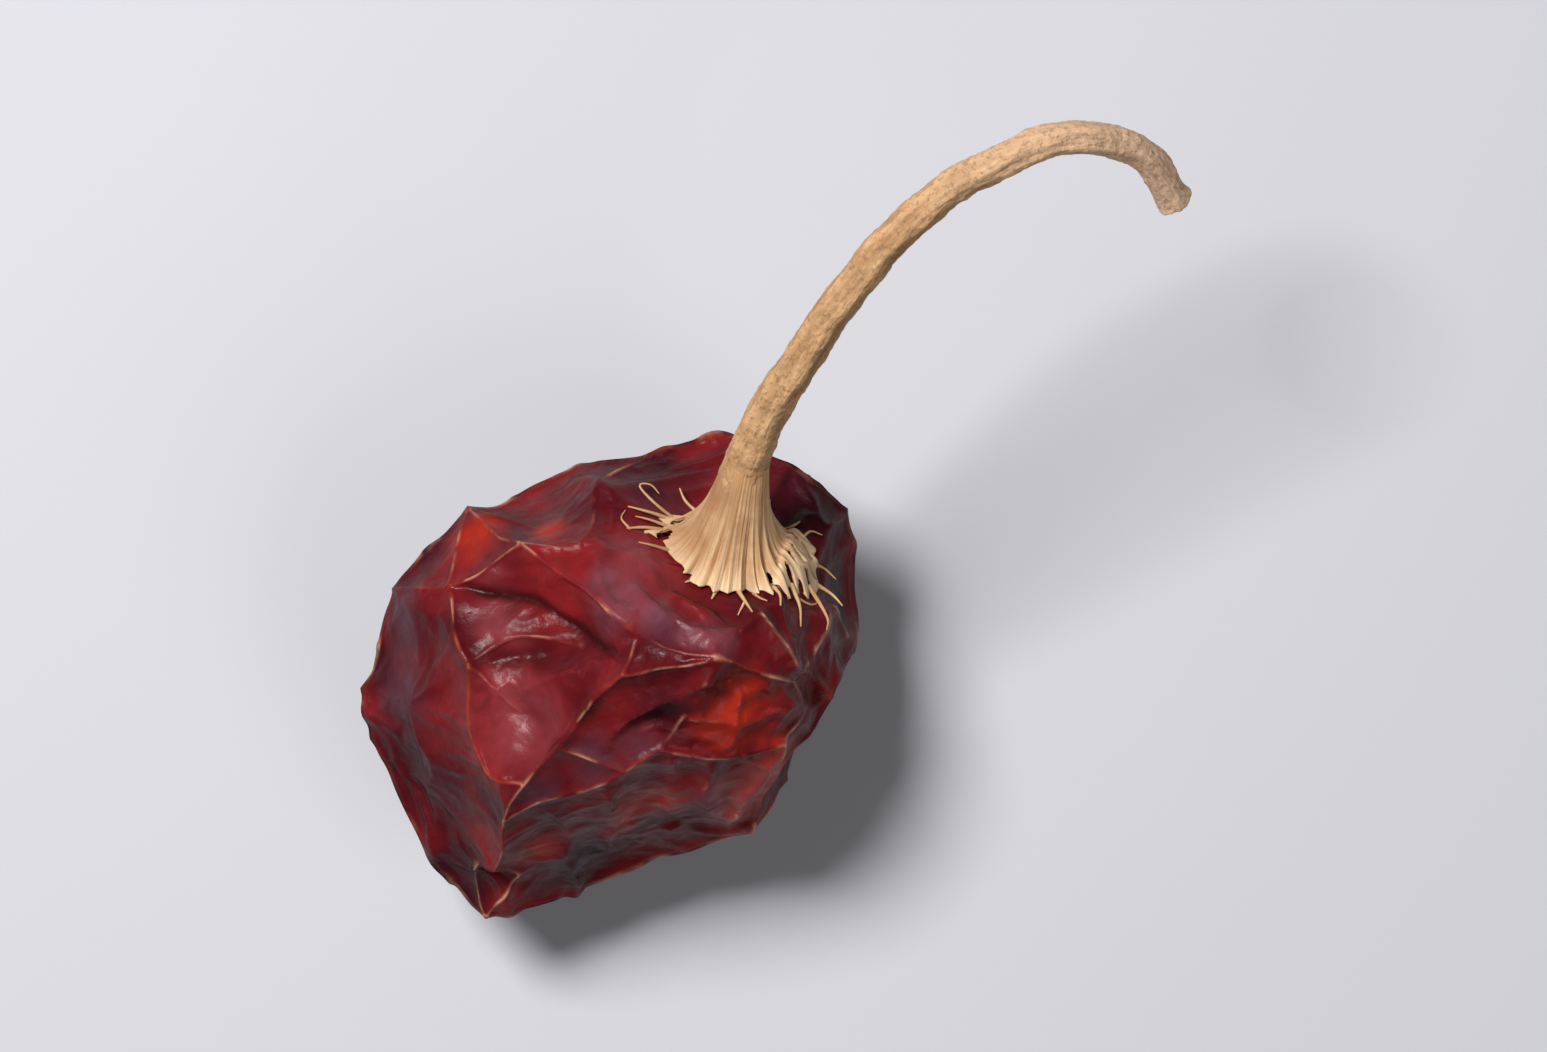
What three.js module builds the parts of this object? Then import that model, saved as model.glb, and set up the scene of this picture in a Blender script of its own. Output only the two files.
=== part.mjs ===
// A dried round chilli pepper, picked with its stalk, lying on a table.
// Three pieces: the pod with its crumpled skin, the calyx that caps it, and the arched stalk.
// Millimetres, +Z up. The origin is the middle of the flat patch that the pod rests on.
import * as THREE from "three";
import { ConvexGeometry } from "three/addons/geometries/ConvexGeometry.js";

// ---- Driving dimensions ----

const podHeart = new THREE.Vector3(0, 0, 8); // the skin is laid round this point
const calyxAxis = new THREE.Vector3(0.16, 0.76, 0.63).normalize(); // out of the pod, along the stalk's start
const seatCentre = new THREE.Vector3(5.3, 6.0, 13.3); // middle of the shoulder that carries the calyx
const seatRadius = 3.9;
const fittingGap = 0.1; // between the pod, the calyx and the stalk
const calyxHeight = 3.2;
const neckRadius = 1.2; // where the calyx narrows into the stalk
const stalkRadiusAtCalyx = 0.86;
const stalkRadiusAtEnd = 0.68;

// ---- Pod ----

// The dried skin stands up in sharp ridges. Each ridge is a row of points along its crest.
const ridges = {
  shoulder: [
    [-6.0, 7.2, 10.2],
    [-3.6, 5.8, 13.8],
    [-2.0, 4.6, 15.2],
    [-0.7, 3.8, 16.2],
    [1.3, 2.0, 17.0],
    [3.0, 1.4, 17.4],
    [4.8, 1.0, 17.3],
    [6.6, 0.5, 16.0],
    [8.0, 0.0, 14.2],
    [9.7, -0.7, 11.0],
  ],
  shoulderFork: [
    [-0.3, 5.6, 15.0],
    [-0.9, 8.1, 11.6],
  ],
  upperCrest: [
    [-3.4, -4.6, 14.2],
    [-2.0, -2.8, 15.6],
    [-0.6, -1.2, 16.7],
    [0.8, 0.3, 17.4],
    [2.4, 0.7, 17.4],
  ],
  lowerCrest: [
    [-4.3, -6.0, 12.8],
    [-2.8, -5.4, 13.4],
    [-1.2, -4.8, 14.1],
    [0.6, -3.9, 14.8],
    [2.4, -3.2, 15.2],
    [4.2, -3.0, 15.0],
    [5.8, -3.2, 14.2],
    [7.4, -2.8, 12.8],
    [9.0, -1.9, 10.4],
  ],
  tip: [
    [-4.8, -8.0, 10.0],
    [-5.3, -10.3, 6.4],
    [-4.6, -8.6, 3.0],
  ],
  leftCrest: [
    [-7.0, 4.1, 12.4],
    [-6.1, 0.6, 14.0],
    [-6.2, -2.4, 13.4],
    [-5.4, -4.2, 13.2],
  ],
  leftEdge: [
    [-9.3, 3.7, 9.4],
    [-10.6, -0.4, 8.2],
    [-10.4, -2.6, 7.4],
    [-8.6, -6.0, 6.6],
    [-7.0, -8.8, 6.4],
  ],
  rightLobe: [
    [7.2, -3.9, 11.6],
    [6.2, -5.2, 10.6],
    [6.1, -6.4, 8.0],
    [4.6, -6.4, 4.4],
  ],
  frontKeel: [
    [2.6, -7.4, 6.2],
    [-1.2, -9.2, 5.6],
    [-3.0, -7.9, 8.6],
  ],
  rightEdge: [
    [10.3, 1.4, 8.0],
    [10.5, 4.6, 7.6],
    [10.2, 7.4, 8.4],
    [8.4, 9.2, 9.6],
  ],
  backEdge: [
    [4.6, 10.3, 7.4],
    [1.6, 9.8, 8.4],
    [-2.2, 8.6, 8.0],
  ],
};

// The skin sinks between the ridges. These are the lowest points of the hollows.
const hollows = [
  [-2.6, 6.7, 12.0],
  [-4.6, 2.2, 13.8],
  [-3.2, 3.9, 13.8],
  [-1.2, 1.7, 15.4],
  [-3.4, -1.6, 14.2],
  [0.8, -1.9, 15.0],
  [3.4, -1.2, 15.6],
  [6.2, -1.2, 14.4],
  [1.2, -5.6, 11.6],
  [4.0, -4.5, 12.2],
  [-1.6, -6.8, 10.2],
  [8.1, -1.4, 12.2],
  [-8.2, 1.4, 11.6],
  [-8.2, -2.0, 10.6],
  [-6.6, -5.4, 10.4],
  [-6.2, -7.6, 8.4],
  [3.0, 3.0, 16.2],
  [0.8, 7.2, 12.2],
  [8.4, 1.7, 12.8],
  [9.5, 6.8, 9.9],
  [6.8, 9.4, 9.0],
  [-4.4, 7.2, 8.4],
  [-7.6, 5.2, 9.4],
  [9.0, -1.2, 7.0],
  [7.6, -4.2, 7.4],
];

// The shoulder under the calyx is a flat ring, square to the calyx's axis.
const seatRing = ringOf(10, seatRadius, seatCentre, calyxAxis);

// The pod dried lying down, so its underside has a flat patch.
const restPatch = [
  [5.6, 2.0, 0],
  [3.4, 5.4, 0],
  [-2.2, 4.6, 0],
  [-5.0, 0.4, 0],
  [-2.6, -4.2, 0],
  [2.6, -4.0, 0],
];

// Between the patch and the widest part the lower flank is pleated, out and in by turns.
const flankPleats = 14;
const pleatCrest = { reach: 8.4, height: 2.9 };
const pleatHollow = { reach: 7.3, height: 3.9 };
const lowerFlank = Array.from({ length: flankPleats }, (_, i) => {
  const turn = (i / flankPleats) * 2 * Math.PI;
  const { reach, height } = i % 2 === 0 ? pleatCrest : pleatHollow;
  return [reach * Math.cos(turn), reach * Math.sin(turn), height];
});

function ringOf(count, radius, centre, axis) {
  const tilt = new THREE.Quaternion().setFromUnitVectors(new THREE.Vector3(0, 0, 1), axis);
  return Array.from({ length: count }, (_, i) => {
    const turn = (i / count) * 2 * Math.PI;
    const arm = new THREE.Vector3(radius * Math.cos(turn), radius * Math.sin(turn), 0);
    return arm.applyQuaternion(tilt).add(centre).toArray();
  });
}

// Seen from the heart every skin point has its own direction. The hull of the directions joins
// neighbours into triangles, and each corner then moves out to its real place on the skin.
function skinOver(points, heart) {
  const places = points.map((p) => new THREE.Vector3(...p));
  const directions = places.map((p) => p.clone().sub(heart).normalize());
  const skin = new ConvexGeometry(directions);
  const corners = skin.getAttribute("position");
  const corner = new THREE.Vector3();
  for (let i = 0; i < corners.count; i++) {
    corner.fromBufferAttribute(corners, i);
    const gaps = directions.map((d) => d.distanceToSquared(corner));
    const nearest = gaps.indexOf(Math.min(...gaps));
    corners.setXYZ(i, ...places[nearest].toArray());
  }
  skin.computeVertexNormals();
  return skin;
}

const podPoints = [...Object.values(ridges).flat(), ...hollows, ...seatRing, ...restPatch, ...lowerFlank];
const pod = new THREE.Mesh(
  skinOver(podPoints, podHeart),
  new THREE.MeshStandardMaterial({ color: 0x7a1414, roughness: 0.42, metalness: 0 }),
);
pod.name = "pod";

// ---- Calyx ----

// A flared cap: thin at its toothed rim, drawn up into the neck that the stalk grows from.
const rimRadius = 3.1;
const toothLength = 0.7;
const teeth = 16;
// Its outline, as radius and height: up the rim's edge, then in and up to the neck.
const calyxProfile = [
  [0, 0],
  [rimRadius, 0],
  [rimRadius, 0.35],
  [2.3, 0.8],
  [1.7, 1.5],
  [1.35, 2.4],
  [neckRadius, calyxHeight],
  [0, calyxHeight],
].map(([radius, height]) => new THREE.Vector2(radius, height));

const calyxShape = new THREE.LatheGeometry(calyxProfile, teeth * 2);
const calyxCorners = calyxShape.getAttribute("position");
for (let i = 0; i < calyxCorners.count; i++) {
  const x = calyxCorners.getX(i);
  const z = calyxCorners.getZ(i);
  const radius = Math.hypot(x, z);
  const step = Math.round((Math.atan2(z, x) / Math.PI) * teeth);
  const onRim = radius > 0.99 * rimRadius;
  if (onRim && step % 2 === 0) {
    const stretch = (radius + toothLength) / radius;
    calyxCorners.setX(i, x * stretch);
    calyxCorners.setZ(i, z * stretch);
  }
}
calyxShape.computeVertexNormals();

const calyx = new THREE.Mesh(
  calyxShape,
  new THREE.MeshStandardMaterial({ color: 0xd9b98a, roughness: 0.85, metalness: 0 }),
);
calyx.name = "calyx";
calyx.quaternion.setFromUnitVectors(new THREE.Vector3(0, 1, 0), calyxAxis);
calyx.position.copy(seatCentre).addScaledVector(calyxAxis, fittingGap);

// ---- Stalk ----

// It leaves the calyx along its axis, arches over and hooks down at the picked end.
const stalkStart = seatCentre.clone().addScaledVector(calyxAxis, 2 * fittingGap + calyxHeight);
const stalkRoute = new THREE.CatmullRomCurve3([
  stalkStart,
  stalkStart.clone().addScaledVector(calyxAxis, 1.2),
  new THREE.Vector3(7.3, 12.1, 18.5),
  new THREE.Vector3(10.4, 16.7, 21.4),
  new THREE.Vector3(14.3, 20.6, 23.1),
  new THREE.Vector3(18.9, 22.7, 22.6),
  new THREE.Vector3(22.5, 22.4, 19.9),
  new THREE.Vector3(24.1, 20.5, 16.9),
]);
const stalkRings = 40;
const stalkSides = 12;
const neckFade = 0.07; // share of the stalk's length over which it thins out of the neck
const endSwelling = 0.16;
const endFade = 0.05; // share of the length that the picked end's swelling fades over

// Thick at the calyx, thinnest past the top of the arch, and a little swollen at the picked end.
function stalkRadius(share) {
  const taper = THREE.MathUtils.lerp(stalkRadiusAtCalyx, stalkRadiusAtEnd, share);
  const atNeck = (neckRadius - stalkRadiusAtCalyx) * Math.exp(-share / neckFade);
  const atEnd = endSwelling * Math.exp(-(1 - share) / endFade);
  return taper + atNeck + atEnd;
}

// A straight rod standing on the origin, one unit tall, with a ring of corners at each step.
const rodProfile = [new THREE.Vector2(0, 0)];
for (let i = 0; i <= stalkRings; i++) {
  rodProfile.push(new THREE.Vector2(stalkRadius(i / stalkRings), i / stalkRings));
}
rodProfile.push(new THREE.Vector2(0, 1));
const stalkShape = new THREE.LatheGeometry(rodProfile, stalkSides);

// Bent along the route: each ring moves to its place on the curve, square to it.
const frames = stalkRoute.computeFrenetFrames(stalkRings);
const stalkCorners = stalkShape.getAttribute("position");
for (let i = 0; i < stalkCorners.count; i++) {
  const ring = Math.round(stalkCorners.getY(i) * stalkRings);
  const place = stalkRoute.getPointAt(ring / stalkRings);
  place.addScaledVector(frames.normals[ring], stalkCorners.getX(i));
  place.addScaledVector(frames.binormals[ring], -stalkCorners.getZ(i));
  stalkCorners.setXYZ(i, place.x, place.y, place.z);
}
stalkShape.computeVertexNormals();

const stalk = new THREE.Mesh(
  stalkShape,
  new THREE.MeshStandardMaterial({ color: 0xb8935f, roughness: 0.9, metalness: 0 }),
);
stalk.name = "stalk";

const pepper = new THREE.Group();
pepper.add(pod, calyx, stalk);

export default pepper;
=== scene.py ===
"""A dried round chilli pepper with its calyx and stalk, lying on a pale table, seen from straight above."""
import math

import bmesh
import bpy
import numpy as np
from mathutils import Matrix, Vector, kdtree, noise
from mathutils.bvhtree import BVHTree


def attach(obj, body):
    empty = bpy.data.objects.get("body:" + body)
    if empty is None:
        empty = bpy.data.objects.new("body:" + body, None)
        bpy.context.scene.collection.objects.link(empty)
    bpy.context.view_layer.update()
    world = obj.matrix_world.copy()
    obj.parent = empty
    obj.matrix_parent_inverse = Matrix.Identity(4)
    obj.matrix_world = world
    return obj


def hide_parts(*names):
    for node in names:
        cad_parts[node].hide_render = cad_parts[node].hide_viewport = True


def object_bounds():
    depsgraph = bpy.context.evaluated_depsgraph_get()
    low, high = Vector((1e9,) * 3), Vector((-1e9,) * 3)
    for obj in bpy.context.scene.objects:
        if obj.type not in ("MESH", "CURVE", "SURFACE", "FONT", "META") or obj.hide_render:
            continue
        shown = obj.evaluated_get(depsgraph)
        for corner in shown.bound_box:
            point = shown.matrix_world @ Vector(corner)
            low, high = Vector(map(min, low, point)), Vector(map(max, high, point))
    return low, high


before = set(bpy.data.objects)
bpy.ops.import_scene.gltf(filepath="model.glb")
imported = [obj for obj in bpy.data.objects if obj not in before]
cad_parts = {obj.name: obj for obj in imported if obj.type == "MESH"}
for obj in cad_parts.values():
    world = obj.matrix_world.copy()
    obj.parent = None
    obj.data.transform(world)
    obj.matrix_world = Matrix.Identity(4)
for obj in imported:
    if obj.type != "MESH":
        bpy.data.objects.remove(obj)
cad_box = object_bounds()
mm = 0.001


# ---------------------------------------------------------------------------------------------
# The pod: the fruit wall of a round chilli. In drying it shrank round its seeds to a stiff, leathery
# skin, drawn tight into dished panels between sharp ridges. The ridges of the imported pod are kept,
# and the panels, folds and fine wrinkles between them are laid in here.
# ---------------------------------------------------------------------------------------------

seat_centre = Vector((5.3, 6.0, 13.3))  # mm, middle of the shoulder under the calyx
calyx_axis = Vector((0.16, 0.76, 0.63)).normalized()
seat_radius = 3.9


def srgb(hex_colour):
    """A linear RGBA colour from an sRGB hex value."""
    parts = [int(hex_colour[i : i + 2], 16) / 255 for i in (1, 3, 5)]
    linear = [c / 12.92 if c <= 0.04045 else ((c + 0.055) / 1.055) ** 2.4 for c in parts]
    return (*linear, 1.0)


def add_node(tree, kind, settings, inputs):
    """Adds a shader node. Each input, by name or number, is a value or the socket linked to it."""
    node = tree.nodes.new(kind)
    for name, value in settings.items():
        setattr(node, name, value)
    for key, value in inputs.items():
        if isinstance(value, bpy.types.NodeSocket):
            tree.links.new(value, node.inputs[key])
        else:
            node.inputs[key].default_value = value
    return node


def places_of(mesh_data):
    """The mesh's corners, as rows of x, y, z in mm."""
    flat = np.empty(len(mesh_data.vertices) * 3)
    mesh_data.vertices.foreach_get("co", flat)
    return flat.reshape(-1, 3) / mm


def move_to(mesh_data, places):
    mesh_data.vertices.foreach_set("co", (places * mm).ravel())
    mesh_data.update()


def links_of(mesh_data):
    """The mesh's edges, as pairs of corner numbers."""
    flat = np.empty(len(mesh_data.edges) * 2, dtype=np.int64)
    mesh_data.edges.foreach_get("vertices", flat)
    return flat.reshape(-1, 2)


def normals_of(mesh_data):
    flat = np.empty(len(mesh_data.vertices) * 3)
    mesh_data.vertex_normals.foreach_get("vector", flat)
    return flat.reshape(-1, 3)


def neighbour_mean(values, links):
    """The mean of each corner's neighbours."""
    total = np.zeros_like(values)
    count = np.bincount(links.ravel(), minlength=len(values)).clip(1)
    for k in range(values.shape[1]):
        total[:, k] = np.bincount(links[:, 0], values[links[:, 1], k], len(values))
        total[:, k] += np.bincount(links[:, 1], values[links[:, 0], k], len(values))
    return total / count[:, None]


def distance_to_path(places, path):
    """Each place's shortest distance to a path, and how far along the path (0 to 1) that is."""
    path = np.array(path, float)
    nearest = np.full(len(places), np.inf)
    along = np.zeros(len(places))
    for step, (start, end) in enumerate(zip(path[:-1], path[1:])):
        run = end - start
        share = np.clip(((places - start) @ run) / (run @ run), 0, 1)
        gap = np.linalg.norm(places - start - share[:, None] * run, axis=1)
        closer = gap < nearest
        nearest[closer] = gap[closer]
        along[closer] = (step + share[closer]) / (len(path) - 1)
    return nearest, along


def rounded(path, rounds=2):
    """A path with its corners cut, as a fold in a skin runs."""
    path = [np.array(p, float) for p in path]
    for _ in range(rounds):
        cut = [path[0]]
        for a, b in zip(path[:-1], path[1:]):
            cut += [0.75 * a + 0.25 * b, 0.25 * a + 0.75 * b]
        path = cut + [path[-1]]
    return path


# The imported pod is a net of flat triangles. Its sharp convex edges are the main ridges.
crest_angle = math.radians(19)
seat_margin = 0.1  # mm, past the seat's radius
patch_height = 0.1  # mm, below which an edge lies in the flat patch that the pod rests on
skin = bmesh.new()
skin.from_mesh(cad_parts["pod"].data)
bmesh.ops.remove_doubles(skin, verts=skin.verts, dist=0.01 * mm)
crest = skin.edges.layers.int.new("crest")


def on_seat(vert):
    return (vert.co / mm - seat_centre).length < seat_radius + seat_margin


for edge in skin.edges:
    is_sharp = edge.calc_face_angle_signed(0) > crest_angle
    in_patch = all(v.co.z < patch_height * mm for v in edge.verts)
    if is_sharp and not in_patch and not any(on_seat(v) for v in edge.verts):
        edge[crest] = 1

longest_edge = 3.4 * mm
for _ in range(2):
    long_edges = [e for e in skin.edges if e.calc_length() > longest_edge]
    bmesh.ops.subdivide_edges(skin, edges=long_edges, cuts=1)
    bmesh.ops.triangulate(skin, faces=skin.faces)

# Each level splits every edge. The ridges round off along themselves, and the skin between them
# pulls tight as it does in drying.
pod_mesh = bpy.data.meshes.new("pod_skin")
ridge_rounds = 4


def refine(skin, tighten):
    """Splits the skin's edges in two, and says which corners lie on the main ridges."""
    bmesh.ops.subdivide_edges(skin, edges=skin.edges, cuts=1, use_grid_fill=True)
    skin.edges.index_update()
    skin.to_mesh(pod_mesh)
    places = places_of(pod_mesh)
    links = links_of(pod_mesh)
    crest_links = np.array([[v.index for v in e.verts] for e in skin.edges if e[crest]])
    crest_degree = np.bincount(crest_links.ravel(), minlength=len(places))
    runs_on = crest_degree == 2
    free = crest_degree == 0
    for _ in range(ridge_rounds):
        mean = neighbour_mean(places, crest_links)
        places[runs_on] += 0.5 * (mean - places)[runs_on]
    for _ in range(tighten):
        mean = neighbour_mean(places, links)
        places[free] += 0.5 * (mean - places)[free]
    for vert, place in zip(skin.verts, places):
        vert.co = Vector(place) * mm
    return ~free


noise.seed_set(5)  # else noise_vector is seeded by the clock, and no two runs are alike


def wander(places, size, reach):
    """A smooth random shift for each place: its pattern size and its reach in mm."""
    return reach * np.array([noise.noise_vector(Vector(p) / size) for p in places])


for level in range(3):
    held = refine(skin, tighten=6)
skin.to_mesh(pod_mesh)
places = places_of(pod_mesh)

# Folds of the upper skin, as paths across it from above (x, y in mm), each with its height
# (negative for a furrow) and its sharpness, from 0 for a soft roll to 1 for a pinched edge.
folds = [
    # furrows between the dished panels under the shoulder ridge
    ([(-7.8, 4.0), (-6.0, 4.1), (-4.6, 4.0), (-2.8, 3.3), (-1.2, 2.2), (0.3, 1.1), (1.6, 0.9)], -0.45, 1),
    ([(-6.0, 0.6), (-4.4, 0.8), (-2.8, 1.1), (-1.2, 1.9)], -0.3, 0),
    ([(0.6, -0.6), (1.8, -0.1), (3.4, -0.3)], -0.12, 0),
    # the band between the shoulder ridge and the calyx
    ([(-0.1, 6.1), (-0.6, 4.9), (-0.4, 3.8), (0.6, 2.8), (1.9, 2.1)], 0.28, 0.6),
    ([(0.9, 4.8), (2.2, 3.5), (4.0, 2.7), (5.0, 2.1)], -0.35, 0),
    ([(3.6, 2.2), (4.4, 1.7), (4.7, 1.0)], 0.15, 0.6),
    # soft crests on the front panel
    ([(-3.6, -0.7), (-2.9, 0.1), (-1.8, 0.4), (-0.6, 0.7)], 0.25, 0.3),
    ([(-4.6, -4.6), (-3.9, -3.0), (-3.6, -1.6)], 0.15, 0),
    # the crinkled stretch below the shoulder ridge
    ([(-1.0, -3.6), (0.4, -2.0), (1.8, -0.9), (3.4, -0.5), (4.4, 0.4), (5.2, 0.9)], 0.3, 0.7),
    ([(5.8, -0.2), (5.4, -1.1), (5.5, -2.3), (4.7, -3.0)], 0.3, 0.5),
    ([(2.6, -1.6), (4.0, -1.4), (5.5, -1.6), (7.2, -1.2), (8.6, -0.6)], 0.3, 0.8),
    ([(6.4, 0.4), (6.9, -0.6), (8.0, -1.0)], 0.25, 0.5),
    ([(1.4, -2.6), (2.4, -1.9), (3.6, -2.3), (4.9, -2.2)], 0.25, 0.3),
    ([(4.4, 0.6), (4.3, -0.4), (3.4, -1.0)], 0.2, 0.2),
    ([(7.4, 0.0), (7.5, -1.2), (6.8, -2.4)], 0.25, 0.6),
    ([(1.8, -1.7), (3.2, -1.9), (4.4, -2.8)], -0.22, 0),
    ([(4.9, 0.3), (5.9, -0.5), (7.2, -0.7)], -0.2, 0),
    # the right lobe and the lower front
    ([(7.6, -2.7), (6.6, -3.9), (5.5, -5.2), (4.9, -6.2)], 0.45, 0.8),
    ([(4.6, -3.3), (4.1, -4.5), (4.2, -5.9)], 0.35, 0.4),
    ([(5.9, -3.2), (5.1, -4.4), (4.9, -5.6)], -0.3, 0),
    ([(-0.2, -4.6), (0.4, -6.0), (0.1, -7.6)], 0.25, 0.3),
    ([(-2.3, -5.5), (-1.6, -6.6), (-2.2, -8.0)], 0.2, 0.2),
    ([(2.6, -3.2), (3.0, -4.6), (2.4, -6.2)], 0.2, 0.2),
    # the left side
    ([(-9.3, 3.5), (-7.9, 3.1), (-6.7, 2.1), (-6.2, 0.8)], 0.2, 0.3),
    ([(-8.3, -0.2), (-8.5, -2.0), (-7.6, -3.8), (-7.9, -5.4)], 0.2, 0.5),
    # pleats that fan out from the calyx to where the shoulder ridge ends
    ([(6.0, 3.3), (6.6, 2.5), (7.4, 1.2), (7.9, 0.1)], 0.35, 1),
    ([(7.6, 3.8), (7.3, 2.4), (8.0, 0.2)], 0.25, 0.3),
    ([(9.2, 3.5), (8.8, 1.4), (8.1, 0.1)], 0.35, 1),
    ([(9.3, 3.6), (9.7, 2.6), (10.1, 1.6)], 0.35, 1),
    ([(1.2, 5.6), (0.9, 4.6), (1.6, 3.6), (2.6, 2.8)], 0.2, 0),
    ([(0.4, 7.6), (-0.4, 8.6), (-2.0, 8.3)], 0.2, 0.3),
]

fold_width = 0.4  # mm
pinned_width = 0.16  # mm, how near to a fold's crest the skin is held as on a ridge
fold_fade = 0.25  # share of its length over which a fold dies out at each end
plan_layer = skin.verts.layers.float_vector.new("plan")
for vert, place in zip(skin.verts, places):
    vert[plan_layer] = place
plan = places.copy()
wobble = wander(places, 2.6, 0.4) + wander(places, 1.1, 0.08)
places += wobble * np.clip((places[:, 2:] - 0.5) / 2, 0, 1)
move_to(pod_mesh, places)
rise = np.zeros(len(places))
upper = np.clip((places[:, 2] - 5) / 3, 0, 1)
for path, height, _ in folds:
    gap, along = distance_to_path(plan[:, :2], rounded(path))
    ends = np.clip(np.minimum(along, 1 - along) / fold_fade, 0, 1)
    rise += upper * height * np.exp(-gap / fold_width) * ends
    if height > 0:
        held |= (gap < pinned_width) & (upper > 0.5) & (ends > 0.7)

# Lower down and behind, branching wrinkles cross the panels where a noise changes sign.
wrinkle_width = 0.16  # in noise values
wrinkle_height = 0.32  # mm
veins = wander(places, 3.6, 1.0)[:, 1]
low_down = np.clip((9.5 - places[:, 2]) / 2, 0, 1) * np.clip((places[:, 2] - 1.0) / 1.5, 0, 1)
rise += wrinkle_height * low_down * (1 - np.abs(veins) / wrinkle_width).clip(0)
places += rise[:, None] * normals_of(pod_mesh)
move_to(pod_mesh, places)


def patches(places, spots):
    """Soft-edged patches, each x, y, z and radius in mm: 1 in the middle and 0 outside."""
    total = np.zeros(len(places))
    for x, y, z, radius in spots:
        gap = np.linalg.norm(places - np.array([x, y, z]), axis=1)
        total = np.maximum(total, np.clip(1.5 - 1.5 * gap / radius, 0, 1))
    return total


# The skin has more area than its ridges span, so it buckles between them. Simulated as a cloth
# pinned along the ridges, at a hundred times its size, where the cloth solver works well.
loose_spots = [(5.5, -1.2, 15, 5.0), (2.0, -6.5, 9.5, 4.0), (8.0, 1.5, 13, 3.0), (-8.5, -3.0, 8.0, 3.0)]
slack = np.clip(0.3 + 0.9 * wander(places, 3.0, 1.0)[:, 0], 0.05, 0.6)
slack = np.maximum(slack, patches(places, loose_spots))
tight_spots = [(-3.6, -1.8, 14, 3.6), (-3.5, 2.2, 14, 2.6), (3.0, 3.2, 16, 3.0), (-9.0, 1.2, 10, 3.0)]
slack *= 1 - 0.8 * patches(places, tight_spots)
places += wander(places, 0.8, 0.16) * (patches(places, loose_spots) * ~held)[:, None]
move_to(pod_mesh, places)
sim_scale = 100
drying_frames = 25
cloth_mesh = pod_mesh.copy()
cloth_mesh.transform(Matrix.Scale(sim_scale, 4))
cloth_object = bpy.data.objects.new("drying_skin", cloth_mesh)
bpy.context.scene.collection.objects.link(cloth_object)
pins = cloth_object.vertex_groups.new(name="ridges")
pins.add([int(i) for i in np.flatnonzero(held)], 1.0, "REPLACE")
cloth = cloth_object.modifiers.new("drying", "CLOTH")
cloth.settings.vertex_group_mass = "ridges"
cloth.settings.quality = 6
cloth.settings.mass = 0.3
cloth.settings.tension_stiffness = 15
cloth.settings.compression_stiffness = 15
cloth.settings.shear_stiffness = 10
cloth.settings.bending_stiffness = 0.2
looseness = cloth_object.vertex_groups.new(name="looseness")
for i, share in enumerate(slack):
    looseness.add([i], float(share), "REPLACE")
cloth.settings.vertex_group_shrink = "looseness"
cloth.settings.shrink_min = -0.004  # below 0 the skin grows, the more the looser it is
cloth.settings.shrink_max = -0.2
cloth.settings.use_pressure = True
cloth.settings.uniform_pressure_force = -2.0
cloth.settings.effector_weights.gravity = 0
cloth.collision_settings.use_collision = False
for frame_number in range(1, drying_frames + 1):
    bpy.context.scene.frame_set(frame_number)
dried = cloth_object.evaluated_get(bpy.context.evaluated_depsgraph_get())
settled = places_of(dried.data) / sim_scale
bpy.data.objects.remove(cloth_object)
bpy.context.scene.frame_set(1)
for vert, place in zip(skin.verts, settled):
    vert.co = Vector(place) * mm
held = refine(skin, tighten=2)
skin.to_mesh(pod_mesh)
plan = np.array([vert[plan_layer] for vert in skin.verts])
skin.free()

# Along a ridge the skin is pinched thin and stands up sharply, and along a furrow it is nicked.
places = places_of(pod_mesh)
links = links_of(pod_mesh)


def bulge_of(places, normals, rounds):
    """How far each place stands out of the skin round it, in mm: below 0 in a hollow."""
    broad = places
    for _ in range(rounds):
        broad = neighbour_mean(broad, links)
    return ((places - broad) * normals).sum(axis=1)


normals = normals_of(pod_mesh)
lip_width = 0.16
lip_height = 0.05
nick_width = 0.2
nick_depth = 0.1
highest_pinch = 0.15
far_off = 9.0  # mm, more than any fold's own width
crest_tree = kdtree.KDTree(int(held.sum()))
for i in np.flatnonzero(held):
    crest_tree.insert(Vector(places[i]), int(i))
crest_tree.balance()
to_ridge = np.array([crest_tree.find(Vector(p))[2] for p in places])
to_furrow = np.full(len(places), far_off)
softest_fold = 0.15  # mm, how far a soft roll's crest counts as lying from a pinched edge
upper = plan[:, 2] > 6
for path, height, sharpness in folds:
    gap, along = distance_to_path(plan[:, :2], rounded(path))
    ends = np.clip(np.minimum(along, 1 - along) / fold_fade, 0, 1)
    gap = np.where(upper, gap + 0.5 * (1 - ends), far_off)
    if height > 0:
        to_ridge = np.minimum(to_ridge, gap + softest_fold * (1 - sharpness))
    elif sharpness > 0:
        to_furrow = np.minimum(to_furrow, gap)
lip = np.exp(-to_ridge / lip_width)
nick = np.exp(-to_furrow / nick_width)
pinch = bulge_of(places, normals, 4).clip(0, highest_pinch)
places += normals * (pinch + lip_height * lip - nick_depth * nick)[:, None]
places[:, 2] = places[:, 2].clip(0)
move_to(pod_mesh, places)

normals = normals_of(pod_mesh)
fine_bulge = bulge_of(places, normals, 3)
broad_bulge = bulge_of(places, normals, 40)


def keep_value(mesh_data, name, values):
    """Stores a value for each corner, for a material to read."""
    layer = mesh_data.attributes.new(name, "FLOAT", "POINT")
    layer.data.foreach_set("value", np.ascontiguousarray(values, dtype=np.float32))


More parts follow.
